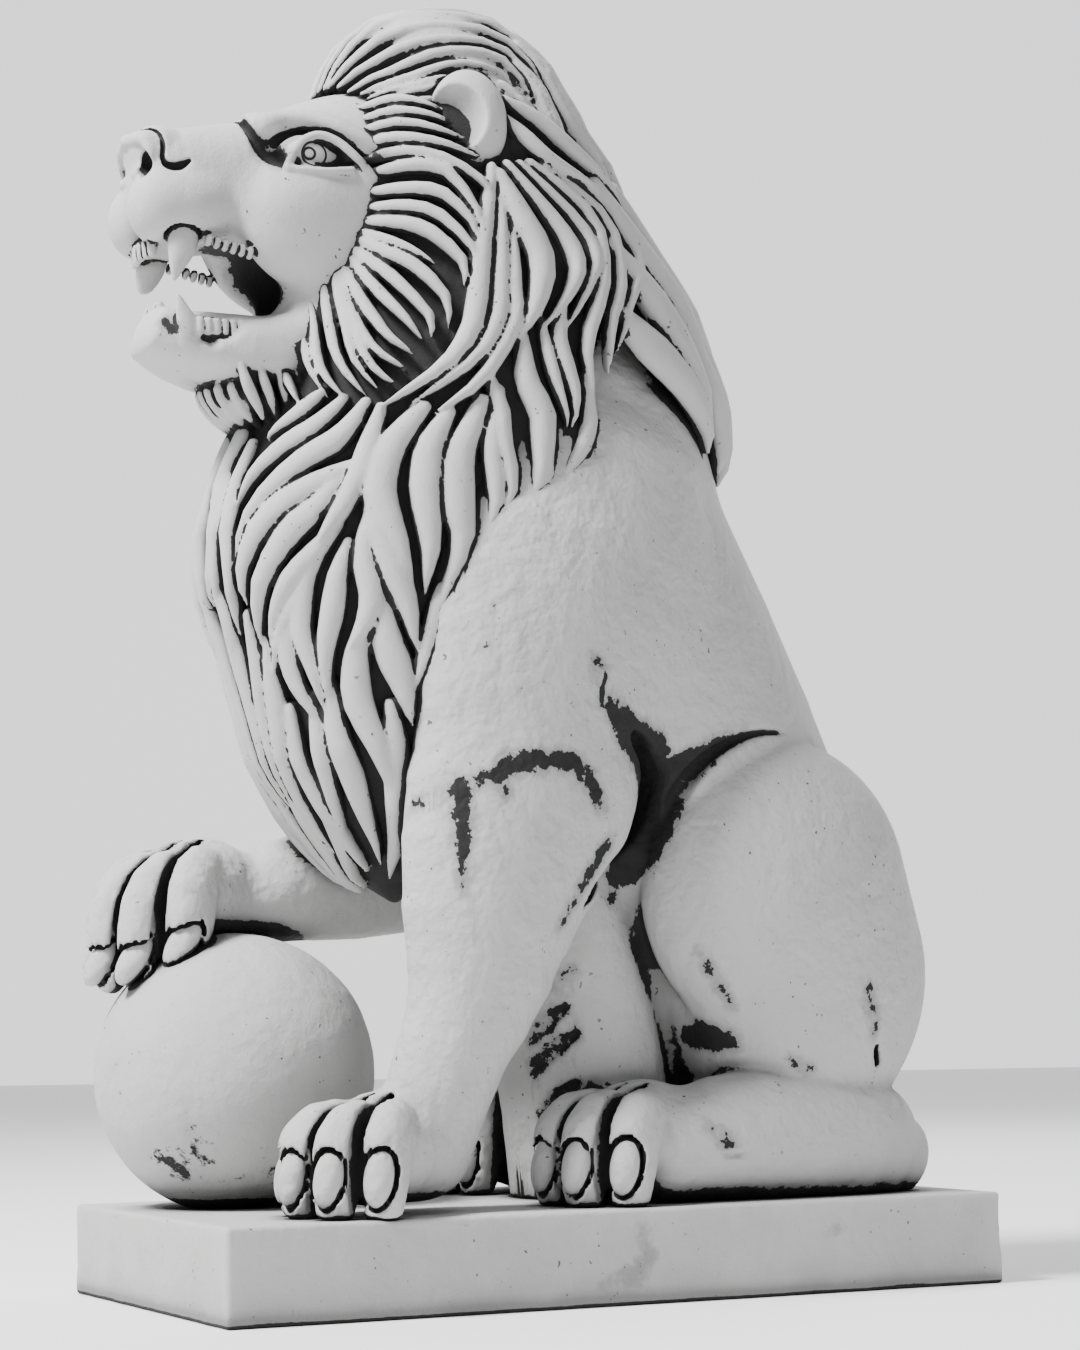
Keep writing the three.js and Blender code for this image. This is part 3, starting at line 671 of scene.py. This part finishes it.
def buildPaw(field, where, size, turn, droop):
    x, y, z = where

    def place(angle, out, up, w, d):
        way = math.radians(turn + angle)
        drop = droop * max(0, out - 42) ** 2 / 100
        return (x + out * math.sin(way) * size, y - out * math.cos(way) * size, z + (up - drop) * size,
                w * size, d * size)

    def wide(angle):
        return (math.cos(math.radians(turn + angle)), math.sin(math.radians(turn + angle)), 0)

    field.add(limb([place(0, 2, 44, 34, 30), place(0, 32, 46, 45, 40), place(0, 70, 37, 46, 28)],
                   across=wide(0)), 8)
    toes = [(k * pawForm["spread"], -12 if abs(k) > 1 else 0) for k in (-1.5, -0.5, 0.5, 1.5)]
    for angle, back in toes:
        field.add(limb([place(angle, 28 + back, 53, 10, 12), place(angle, 60 + back, 60, 16, 19),
                        place(angle, 85 + back, 52, 18.5, 24), place(angle, 96 + back, 27, 17.5, 21),
                        place(angle, 98 + back, 9, 15, 13)], pieces=9, across=wide(angle)), 1.5)
    cleft = pawForm["cleft"]
    for k in (-1, 0, 1):
        angle = k * pawForm["spread"]
        back = -5 if k else 0
        field.cut(limb([place(angle, 26 + back, 78, 1, 2), place(angle, 58 + back, 77, cleft, 8),
                        place(angle, 86 + back, 66, cleft, 12),
                        place(angle, 102 + back, 36, cleft + 0.6, 14),
                        place(angle, 100 + back, 6, cleft, 10)], pieces=8, across=wide(angle)), 1)
        nearStains.append([place(angle, out + back, up, 1, 1)[:3] + (width,) for out, up, width in (
            (34, 76, 1), (56, 74, 5), (82, 62, 8), (96, 36, 8), (94, 10, 7))])
    claw = np.array(pawForm["claw"]) * size
    for angle, back in toes:
        middle = place(angle, 108 + back, 28, 1, 1)[:3]
        tilt = (-10 - 30 * droop, 0, turn + angle)
        field.cut(ellipsoid(middle, claw + pawForm["socket"], tilt), 1)
        away = wide(angle)
        field.add(ellipsoid([middle[0] - 1.5 * away[1], middle[1] + 1.5 * away[0], middle[2]], claw, tilt))


def buildBody():
    field = Field((-182, -345, -4), (182, 332, 690), quality["body"])
    # the trunk and the belly
    field.add(limb([(0, 204, -20, 96, 90), (0, 204, 90, 112, 100), (0, 168, 220, 126, 122),
                    (0, 108, 335, 130, 138), (0, 46, 445, 132, 146), (0, -2, 545, 120, 142),
                    (0, -34, 650, 88, 100)], pieces=10))
    field.add(ellipsoid((0, 34, 566), (114, 116, 110)), 24)
    field.add(limb([(0, -60, 330, 82, 76), (0, 4, 230, 84, 70), (0, 38, 120, 80, 62),
                    (0, 54, -20, 76, 62)]), 16)
    # the pit of the flank, and the haunches
    field.cut(ellipsoids((142, 40, 296), (54, 27, 66), (16, 0, 0)), 8)
    field.cut(tubes([(120, 62, 262, 14, 6), (122, 68, 298, 14, 8), (128, 92, 330, 12, 6),
                     (128, 128, 348, 7, 3), (118, 170, 352, 4, 1)]), 3)
    field.add(ellipsoids((96, 164, 233), (66, 112, 117), (8, 0, 0)), 2)
    field.add(ellipsoids((82, 200, 156), (68, 96, 118), (-20, 0, 0)), 18)
    # the standing foreleg
    field.add(limb([(98, 10, 560, 38, 88), (108, -14, 470, 50, 108), (114, -44, 380, 49, 100),
                    (116, -56, 290, 43, 82)]), 22)
    field.add(limb([(113, -46, 350, 44, 70), (115, -60, 300, 48, 89), (117, -84, 225, 46, 71),
                    (116, -97, 160, 40, 52), (112, -116, 112, 38, 40), (103, -138, 46, 38, 38)], pieces=9),
              10)
    field.add(ellipsoid((114, 0, 304), (36, 30, 38)), 12)
    # the reaching foreleg
    top = 2 * ballSize["radius"] - ballSize["sunk"]
    x, y = ballSize["side"] - 50, 11 - ballSize["front"]
    field.add(limb([(-98, 10, 560, 38, 88), (-108, -14, 470, 50, 104), (-110, -36, 380, 49, 96),
                    (-106, -34, 286, 44, 74)]), 22)
    field.add(limb([(-104, -10, 282, 40, 58), (-102, -80, 252, 42, 48), (-98, -156, 242, 38, 42),
                    (x + 12, y + 8, top + 24, 38, 32), (x + 14, y - 28, top + 14, 38, 28)], pieces=9), 10)
    # the crease behind the elbow
    elbow = [(-12, 396, 8, 2), (-4, 368, 12, 4), (14, 347, 16, 7), (36, 331, 20, 9), (47, 308, 22, 10),
             (44, 284, 22, 10), (27, 262, 18, 8), (5, 243, 14, 5.5), (-20, 221, 11, 4), (-42, 197, 8, 2)]
    creases = onSkins(field, elbow)
    field.cut(creases, 3)
    # the hamstring
    tendon = [(206, 188, 10, 2), (211, 162, 12, 4), (217, 138, 12, 5), (223, 114, 10, 4), (229, 98, 6, 2)]
    behind = onSkins(field, tendon)
    field.cut(behind, 5)
    # the folds of the belly
    for s in (1, -1):
        for fold in bellyFolds:
            field.cut(tube(mirror(s, [list(p[:3]) + [p[3] * 0.9, p[3] * 0.9] for p in fold])), 2.5)
    # the hind feet
    for s in (1, -1):
        field.add(limb([(s * 112, 52, 36, 44, 38), (s * 112, 96, 44, 44, 46), (s * 110, 150, 46, 44, 52),
                        (s * 104, 222, 42, 40, 52), (s * 97, 262, 26, 28, 34)]), 5)
        buildPaw(field, (s * 93, 73, 0), 1.05, s * 14, 0)
    buildPaw(field, (94, -137, 0), 1.02, 24, 0)
    buildPaw(field, (x, y, top - 16), 1.06, 24, 0.75)
    # the tail
    field.add(limb([(-30, 282, 96, 20, 20), (-62, 294, 26, 18, 18), (-128, 254, 16, 15, 15),
                    (-150, 168, 15, 14, 14), (-150, 70, 17, 20, 18)], pieces=10), 3)
    for k in range(4):
        field.cut(tube([(-150 + 20 * math.cos(k * 0.9), 110, 17 + 18 * math.sin(k * 0.9)),
                        (-150 + 20 * math.cos(k * 0.9 + 0.3), 54, 17 + 18 * math.sin(k * 0.9 + 0.3))], 1.8),
                  1)
    # what the ball and the plinth take up
    centre = (ballSize["side"], -ballSize["front"], ballSize["radius"] - ballSize["sunk"] + joint)
    field.cut(ellipsoid(centre, [ballSize["radius"] + joint] * 3))
    field.cut(((-400, -400, -60), (400, 400, joint), lambda x, y, z: z - joint + 0 * x + 0 * y))
    return field


# How much stone lies round each place: one coarse grid over the whole statue, blurred
class Surroundings:
    def __init__(self, fields, step=2.0):
        self.low = np.array((-192.0, -352.0, -86.0))
        self.step = step
        self.shape = tuple(np.ceil((np.array((192.0, 340.0, 952.0)) - self.low) / step).astype(int))
        self.lines = [self.low[k] + step * np.arange(self.shape[k]) for k in range(3)]
        x, y, z = (onAxis(self.lines[k], k).astype(np.float32) for k in range(3))
        solid = np.zeros(self.shape, np.float32)
        block = np.maximum(np.maximum(np.abs(x) - plinthSize["width"] / 2,
                                      np.abs(y) - plinthSize["length"] / 2), z)
        solid[:, :, :] = np.clip(0.5 - np.minimum(block, z + plinthSize["height"]) / step, 0, 1)
        centre = (ballSize["side"], -ballSize["front"], ballSize["radius"] - ballSize["sunk"])
        away = np.sqrt((x - centre[0]) ** 2 + (y - centre[1]) ** 2 + (z - centre[2]) ** 2)
        solid = np.maximum(solid, np.clip(0.5 - (away - ballSize["radius"]) / step, 0, 1))
        for field in fields:
            where, values = self.spread(field)
            solid[where] = np.maximum(solid[where], np.clip(0.5 - values / step, 0, 1))
        self.solid = solid
        self.levels = {}

    def spread(self, field):
        where = []
        values = field.values
        for k in range(3):
            at = (self.lines[k] - field.low[k]) / field.step
            inside = np.nonzero((at >= 0) & (at < field.shape[k] - 1))[0]
            where.append(slice(inside[0], inside[-1] + 1))
            base = at[inside].astype(int)
            share = onAxis((at[inside] - base).astype(np.float32), k)
            values = np.take(values, base, k) * (1 - share) + np.take(values, base + 1, k) * share
        return tuple(where), values

    def blur(self, reach):
        result = self.solid
        for again in range(2):
            for k in range(3):
                pad = [(reach + 1, reach) if i == k else (0, 0) for i in range(3)]
                total = np.cumsum(np.pad(result, pad, mode="edge"), axis=k, dtype=np.float32)
                width = 2 * reach + 1
                high = np.take(total, np.arange(width, total.shape[k]), k)
                result = (high - np.take(total, np.arange(0, total.shape[k] - width), k)) / width
        return result

    def around(self, points, normals, reach, lift):
        if reach not in self.levels:
            self.levels[reach] = self.blur(reach)
        return between(self.levels[reach], (points + normals * lift - self.low) / self.step, np.float32)


# How far each place lies from the stains and the painted shade marks
def stainAndShadeDistance(points):
    best = np.full(len(points), 30.0)
    for side, rows in ((1, stainsAndShade + nearStains), (-1, stainsAndShade)):
        for line in rows:
            for a, b in zip(line[:-1], line[1:]):
                a, b = (np.array((side * p[0],) + p[1:], float) for p in (a, b))
                ab = b[:3] - a[:3]
                t = np.clip((points - a[:3]) @ ab / (ab @ ab), 0, 1)
                away = np.linalg.norm(points - a[:3] - t[:, None] * ab, axis=1)
                best = np.minimum(best, away - (a[3] + t * (b[3] - a[3])))
    return best


# Everything goes to metres on the ground here.
def toMesh(name, field, faces):
    points, polygons = field.surface()
    mesh = bpy.data.meshes.new(name)
    lifted = (points + np.array([0, 0, plinthSize["height"]])) / 1000
    mesh.from_pydata(lifted.tolist(), [], polygons)
    mesh.update()
    obj = bpy.data.objects.new(name, mesh)
    bpy.context.scene.collection.objects.link(obj)
    triangles = sum(len(p) - 2 for p in polygons)
    if triangles > faces:
        thin = obj.modifiers.new("thin", "DECIMATE")
        thin.ratio = faces / triangles
        shaped = bpy.data.meshes.new_from_object(obj.evaluated_get(bpy.context.evaluated_depsgraph_get()))
        obj.modifiers.clear()
        obj.data = shaped
        bpy.data.meshes.remove(mesh)
        shaped.name = name
    obj.data.shade_smooth()
    stage("%s has %d faces from %d" % (name, len(obj.data.polygons), triangles))
    return obj


# How wide each hollow is taken, in steps of the coarse grid, and how far off the surface it is looked for
nearness = {"crease": (1, 3.0), "hollow": (3, 7.0), "shade": (8, 18.0)}


# The measures of creases, hollows, shade and stains at each vertex, which place the patina and the painted
# shade
def weatherAndShade(obj, around):
    mesh = obj.data
    count = len(mesh.vertices)
    points, normals = np.empty(count * 3, np.float32), np.empty(count * 3, np.float32)
    mesh.vertices.foreach_get("co", points)
    mesh.vertex_normals.foreach_get("vector", normals)
    points = points.reshape(-1, 3) * 1000 - np.array([0, 0, plinthSize["height"]])
    normals = normals.reshape(-1, 3)
    values = {key: around.around(points, normals, *reach) for key, reach in nearness.items()}
    values["stainAndShade"] = stainAndShadeDistance(points)
    if obj.name == "lion_body":
        # less of it where the feet meet the plinth
        for key in nearness:
            values[key] = values[key] * np.clip(0.62 + points[:, 2] / 60, 0.62, 1)
    if obj.name == "lion_mane":
        middle, wide, deep = levelAt(points[:, 2], maneForm["sink"])
        near = np.sqrt((points[:, 0] / wide) ** 2 + ((points[:, 1] - middle) / deep) ** 2)
        values["floor"] = (near - 1) * np.minimum(wide, deep) + np.maximum(points[:, 2] - 800, 0) * 0.2
    else:
        values["floor"] = np.full(count, 20.0)
    for key, data in values.items():
        mesh.attributes.new(key, "FLOAT", "POINT").data.foreach_set("value", data.astype(np.float32))


# A value in a material's tree, with the usual arithmetic
class Value:
    def __init__(self, tree, socket):
        self.tree = tree
        self.socket = socket

    def make(self, kind, inputs, output=0, **settings):
        node = self.tree.nodes.new(kind)
        for key, setting in settings.items():
            setattr(node, key, setting)
        for key, item in inputs.items():
            if isinstance(item, Value):
                self.tree.links.new(item.socket, node.inputs[key])
            else:
                node.inputs[key].default_value = item
        return Value(self.tree, node.outputs[output])

    def math(self, operation, *others):
        return self.make("ShaderNodeMath", dict(enumerate((self,) + others)), operation=operation)

    def __add__(self, other):
        return self.math("ADD", other)

    def __sub__(self, other):
        return self.math("SUBTRACT", other)

    def __mul__(self, other):
        return self.math("MULTIPLY", other)

    __radd__ = __add__
    __rmul__ = __mul__

    def __rsub__(self, other):
        return self * -1.0 + other

    def most(self, other):
        return self.math("MAXIMUM", other)

    def ramp(self, low, high):
        settings = {"interpolation_type": "SMOOTHSTEP", "clamp": True}
        return self.make("ShaderNodeMapRange", {0: self, 1: low, 2: high, 3: 0.0, 4: 1.0}, **settings)

    def noise(self, size, detail=2.0, rough=0.5):
        return self.make("ShaderNodeTexNoise", {"Vector": self, "Scale": 1000.0 / size, "Detail": detail,
                                                "Roughness": rough})

    def mixed(self, first, second):
        return self.make("ShaderNodeMix", {0: self, 6: first, 7: second}, output=2, data_type="RGBA")

    def attribute(self, name):
        return self.make("ShaderNodeAttribute", {}, output="Fac", attribute_name=name)

    def axis(self, key):
        return self.make("ShaderNodeSeparateXYZ", {0: self}, output=key)


# The stone's colours: pale; grey for the painted shade and grime; dark for the patina. Halo is how grey the
# painted shade round the marks goes
stoneLook = {"pale": (0.44, 0.44, 0.437, 1), "grey": (0.19, 0.19, 0.188, 1),
             "dark": (0.012, 0.012, 0.012, 1), "roughness": 0.82, "shine": 0.35, "bump": 0.0016, "halo": 0.75}
# How strongly the tool marks show
hammering = {"body": 1.0, "head": 0.25, "mane": 0.2, "ball": 0.5, "plinth": 0.4}


# The carved rings of iris and pupil, on both eyes
def eyeLines(place):
    outer = place.axis("X").math("ABSOLUTE").ramp(0.0575, 0.0585)
    lines = None
    for centre, radius, thick in ((headForm["iris"], headForm["irisRadius"], 1.3),
                                  (headForm["pupil"], headForm["pupilRadius"], 1.5)):
        y = place.axis("Y") * 1000.0 - centre[0]
        z = place.axis("Z") * 1000.0 - (centre[1] + plinthSize["height"])
        away = (y * y + z * z).math("SQRT")
        line = ((away - radius).math("ABSOLUTE") * -1.0).ramp(-thick, -thick * 0.5)
        lines = line if lines is None else lines.most(line)
    return lines * outer


# Where the patina begins, by piece: in creases, in hollows and in deep shade, each as clear and as full
patinaEdges = {
    "lion_mane": ((0.19, 0.22), (0.27, 0.30), (0.47, 0.50)),
    "lion_head": ((0.21, 0.24), (0.27, 0.30), (0.31, 0.35)),
    "lion_body": ((0.22, 0.25), (0.31, 0.34), (0.47, 0.50)),
    "ball_stone": ((0.30, 0.33), (0.52, 0.55), (0.80, 0.83)),
    "plinth_stone": ((0.34, 0.37), (0.56, 0.59), (0.80, 0.83)),
}


def stoneMaterial(name, hammered):
    material = bpy.data.materials.new(name)
    material.use_nodes = True
    tree = material.node_tree
    shader = tree.nodes["Principled BSDF"]
    place = Value(tree, tree.nodes.new("ShaderNodeTexCoord").outputs["Object"])
    edges = patinaEdges[name]
    fine = place.noise(3.0, 3.0, 0.6)
    ragged = place.noise(9.0, 3.0, 0.65)
    broad = place.noise(60.0, 3.0, 0.5)
    crease, hollow, shade = (place.attribute(key) for key in ("crease", "hollow", "shade"))
    floor, stainAndShade = place.attribute("floor"), place.attribute("stainAndShade")
    wander = (ragged - 0.5) * 0.20 + (fine - 0.5) * 0.05
    dark = (crease + wander).ramp(*edges[0])
    dark = dark.most((hollow + wander).ramp(*edges[1]))
    dark = dark.most((shade + wander).ramp(*edges[2]))
    dark = dark.most(((floor + (ragged - 0.5) * 7.0) * -1.0).ramp(-2.6, -2.0))
    if name == "lion_head":
        dark = dark.most(eyeLines(place))
    # black along the stains, the patina marks and the painted shade marks
    if name != "plinth_stone":
        dark = dark.most(((stainAndShade + (ragged - 0.5) * 16.0 + (fine - 0.5) * 4.0) * -1.0).ramp(-0.6, 0.2))
    # Painted shade: the stone goes grey in hollows and where much stone lies round, with tone that varies at
    # random
    paintedShadeAndGrime = (hollow * 1.6 + (broad - 0.5) * 0.25 + shade * 0.9).ramp(0.22, 0.95)
    # and a soft painted shade round the stains and the painted shade marks
    raggedStainAndShade = stainAndShade + (broad - 0.5) * 8.0 + (ragged - 0.5) * 14.0
    paintedShadeAndGrime = paintedShadeAndGrime.most((raggedStainAndShade * -1.0).ramp(-9.0, 2.0) * stoneLook["halo"])
    if name == "plinth_stone":
        # the lower edge, where the ground stains it
        height = place.axis("Z") * 1000.0
        paintedShadeAndGrime = paintedShadeAndGrime.most(((height + (ragged - 0.5) * 16.0) * -1.0).ramp(-7.0, -1.0) * 0.9)
    speck = place.noise(5.0, 1.0).ramp(0.735, 0.75) * broad.ramp(0.42, 0.6) * 0.8
    # the stone between pale and the grey of the painted shade and grime
    pale = (paintedShadeAndGrime + (broad - 0.5) * 0.12).mixed(stoneLook["pale"], stoneLook["grey"])
    colour = dark.most(speck).mixed(pale, stoneLook["dark"])
    tree.links.new(colour.socket, shader.inputs["Base Color"])
    shader.inputs["Roughness"].default_value = stoneLook["roughness"]
    shader.inputs["Specular IOR Level"].default_value = stoneLook["shine"]
    relief = place.noise(1.8, 2.0, 0.6) * 0.4
    relief = relief + place.noise(8.0, 1.0, 0.5) * (hammered * 1.4)
    relief = relief + place.noise(17.0, 2.0, 0.5) * (hammered * 3.4)
    bump = relief.make("ShaderNodeBump", {"Height": relief, "Distance": stoneLook["bump"], "Strength": 0.6})
    tree.links.new(bump.socket, shader.inputs["Normal"])
    return material


# The lion
fields = {"body": buildBody(), "mane": buildMane(), "head": buildHead()}
stage("the fields are filled")
around = Surroundings(fields.values())
stage("the surroundings are known")
pieces = {}
for part, field in fields.items():
    pieces[part] = toMesh("lion_" + part, field, quality["faces"])
    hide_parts("lion")


# The ball and the plinth
def softNoise(place, size):
    return noise.noise(Vector(place) / size)


def fromShape(name, shape):
    mesh = bpy.data.meshes.new(name)
    bmesh.ops.recalc_face_normals(shape, faces=shape.faces)
    shape.to_mesh(mesh)
    shape.free()
    mesh.shade_smooth()
    obj = bpy.data.objects.new(name, mesh)
    bpy.context.scene.collection.objects.link(obj)
    return obj


shape = bmesh.new()
bmesh.ops.create_icosphere(shape, subdivisions=6, radius=1)
middle = Vector((ballSize["side"], -ballSize["front"],
                 plinthSize["height"] + joint - ballSize["sunk"] + ballSize["radius"]))
for v in shape.verts:
    way = v.co.copy()
    reach = ballSize["radius"] - 1.0 + 0.9 * softNoise(way * 100, 45) + 0.35 * softNoise(way * 100, 12)
    v.co = middle + way * min(reach, ballSize["radius"] - 0.05)
    v.co.z = max(v.co.z, plinthSize["height"] + joint)
    v.co /= 1000
pieces["ball"] = fromShape("ball_stone", shape)
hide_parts("ball")

shape = bmesh.new()
bmesh.ops.create_cube(shape, size=1)
bmesh.ops.scale(shape, vec=(plinthSize["width"], plinthSize["length"], plinthSize["height"]),
                verts=shape.verts)
bmesh.ops.translate(shape, vec=(0, 0, plinthSize["height"] / 2), verts=shape.verts)
for count in (4, 2, 2, 2):
    longer = [e for e in shape.edges if e.calc_length() > 12]
    if longer:
        bmesh.ops.subdivide_edges(shape, edges=longer, cuts=count, use_grid_fill=True)
outer = [e for e in shape.edges if len(e.link_faces) == 2 and e.calc_face_angle() > 1]
bmesh.ops.bevel(shape, geom=outer, offset=plinthSize["edge"], segments=3, profile=0.5, affect="EDGES")
half = (plinthSize["width"] / 2, plinthSize["length"] / 2)
for v in shape.verts:
    wear = 0.9 * (softNoise(v.co, 38) + 0.5 * softNoise(v.co, 9)) - 0.5
    v.co.x -= math.copysign(max(0, -wear), v.co.x) if abs(v.co.x) > half[0] - 4 else 0
    v.co.y -= math.copysign(max(0, -wear), v.co.y) if abs(v.co.y) > half[1] - 4 else 0
    v.co /= 1000
pieces["plinth"] = fromShape("plinth_stone", shape)
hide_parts("plinth")

for part, obj in pieces.items():
    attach(obj, "root")
    part if part in ("ball", "plinth") else "lion"
    weatherAndShade(obj, around)
    obj.data.materials.append(stoneMaterial(obj.name, hammering[part]))
    stage("%s is weathered" % obj.name)


# The floor, a wall far behind the statue, the lights and the camera
def sheet(name, size, material, looks):
    obj = bpy.data.objects.new(name, bpy.data.meshes.new(name))
    bpy.context.scene.collection.objects.link(obj)
    shape = bmesh.new()
    bmesh.ops.create_grid(shape, x_segments=1, y_segments=1, size=size)
    shape.to_mesh(obj.data)
    shape.free()
    surface = bpy.data.materials.new(material)
    surface.use_nodes = True
    for key, setting in looks.items():
        surface.node_tree.nodes["Principled BSDF"].inputs[key].default_value = setting
    obj.data.materials.append(surface)
    return obj


cameraView = {"place": (2.1118, -0.9894, 0.1978), "azimuth": 64.6, "pitch": 6.7, "roll": -1.0, "lens": 80.0}
floor = sheet("floor", 30, "paper", {"Base Color": (0.86, 0.86, 0.86, 1), "Roughness": 0.95})
floor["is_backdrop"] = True
wall = sheet("wall", 14, "white", {"Base Color": (0, 0, 0, 1), "Emission Color": (1, 1, 1, 1),
                                   "Emission Strength": 1.5})
wall.rotation_euler = (math.radians(90), 0, math.radians(cameraView["azimuth"]))
wall.location = (-9.0, 4.3, 5.0)
wall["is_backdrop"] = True

lamps = [("key", (0.2, -2.3, 3.4), 420, 0.8), ("fill", (3.4, -0.6, 2.2), 10, 2.0),
         ("back", (-1.5, 2.5, 2.4), 60, 1.6)]
for name, spot, power, size in lamps:
    light = bpy.data.lights.new(name, "AREA")
    light.energy = power
    light.size = size
    lamp = bpy.data.objects.new(name, light)
    lamp.location = spot
    lamp.rotation_euler = (Vector((0, 0, 0.5)) - Vector(spot)).to_track_quat("-Z", "Y").to_euler()
    bpy.context.scene.collection.objects.link(lamp)

world = bpy.data.worlds.new("world")
bpy.context.scene.world = world
world.use_nodes = True
world.node_tree.nodes["Background"].inputs["Color"].default_value = (0.95, 0.96, 0.97, 1)
world.node_tree.nodes["Background"].inputs["Strength"].default_value = 0.5

view = bpy.data.cameras.new("view")
view.sensor_fit = "AUTO"
view.sensor_width = 36.0
view.lens = cameraView["lens"]
camera = bpy.data.objects.new("view", view)
turn = (Matrix.Rotation(math.radians(cameraView["azimuth"]), 3,
                        "Z") @ Matrix.Rotation(math.radians(90 + cameraView["pitch"]), 3,
                                               "X") @ Matrix.Rotation(math.radians(cameraView["roll"]), 3,
                                                                      "Z"))
camera.rotation_euler = turn.to_euler()
camera.location = cameraView["place"]
bpy.context.scene.collection.objects.link(camera)
bpy.context.scene.camera = camera

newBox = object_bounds()
stage("box %s" % [[round(1000 * c, 1) for c in p] for p in newBox])
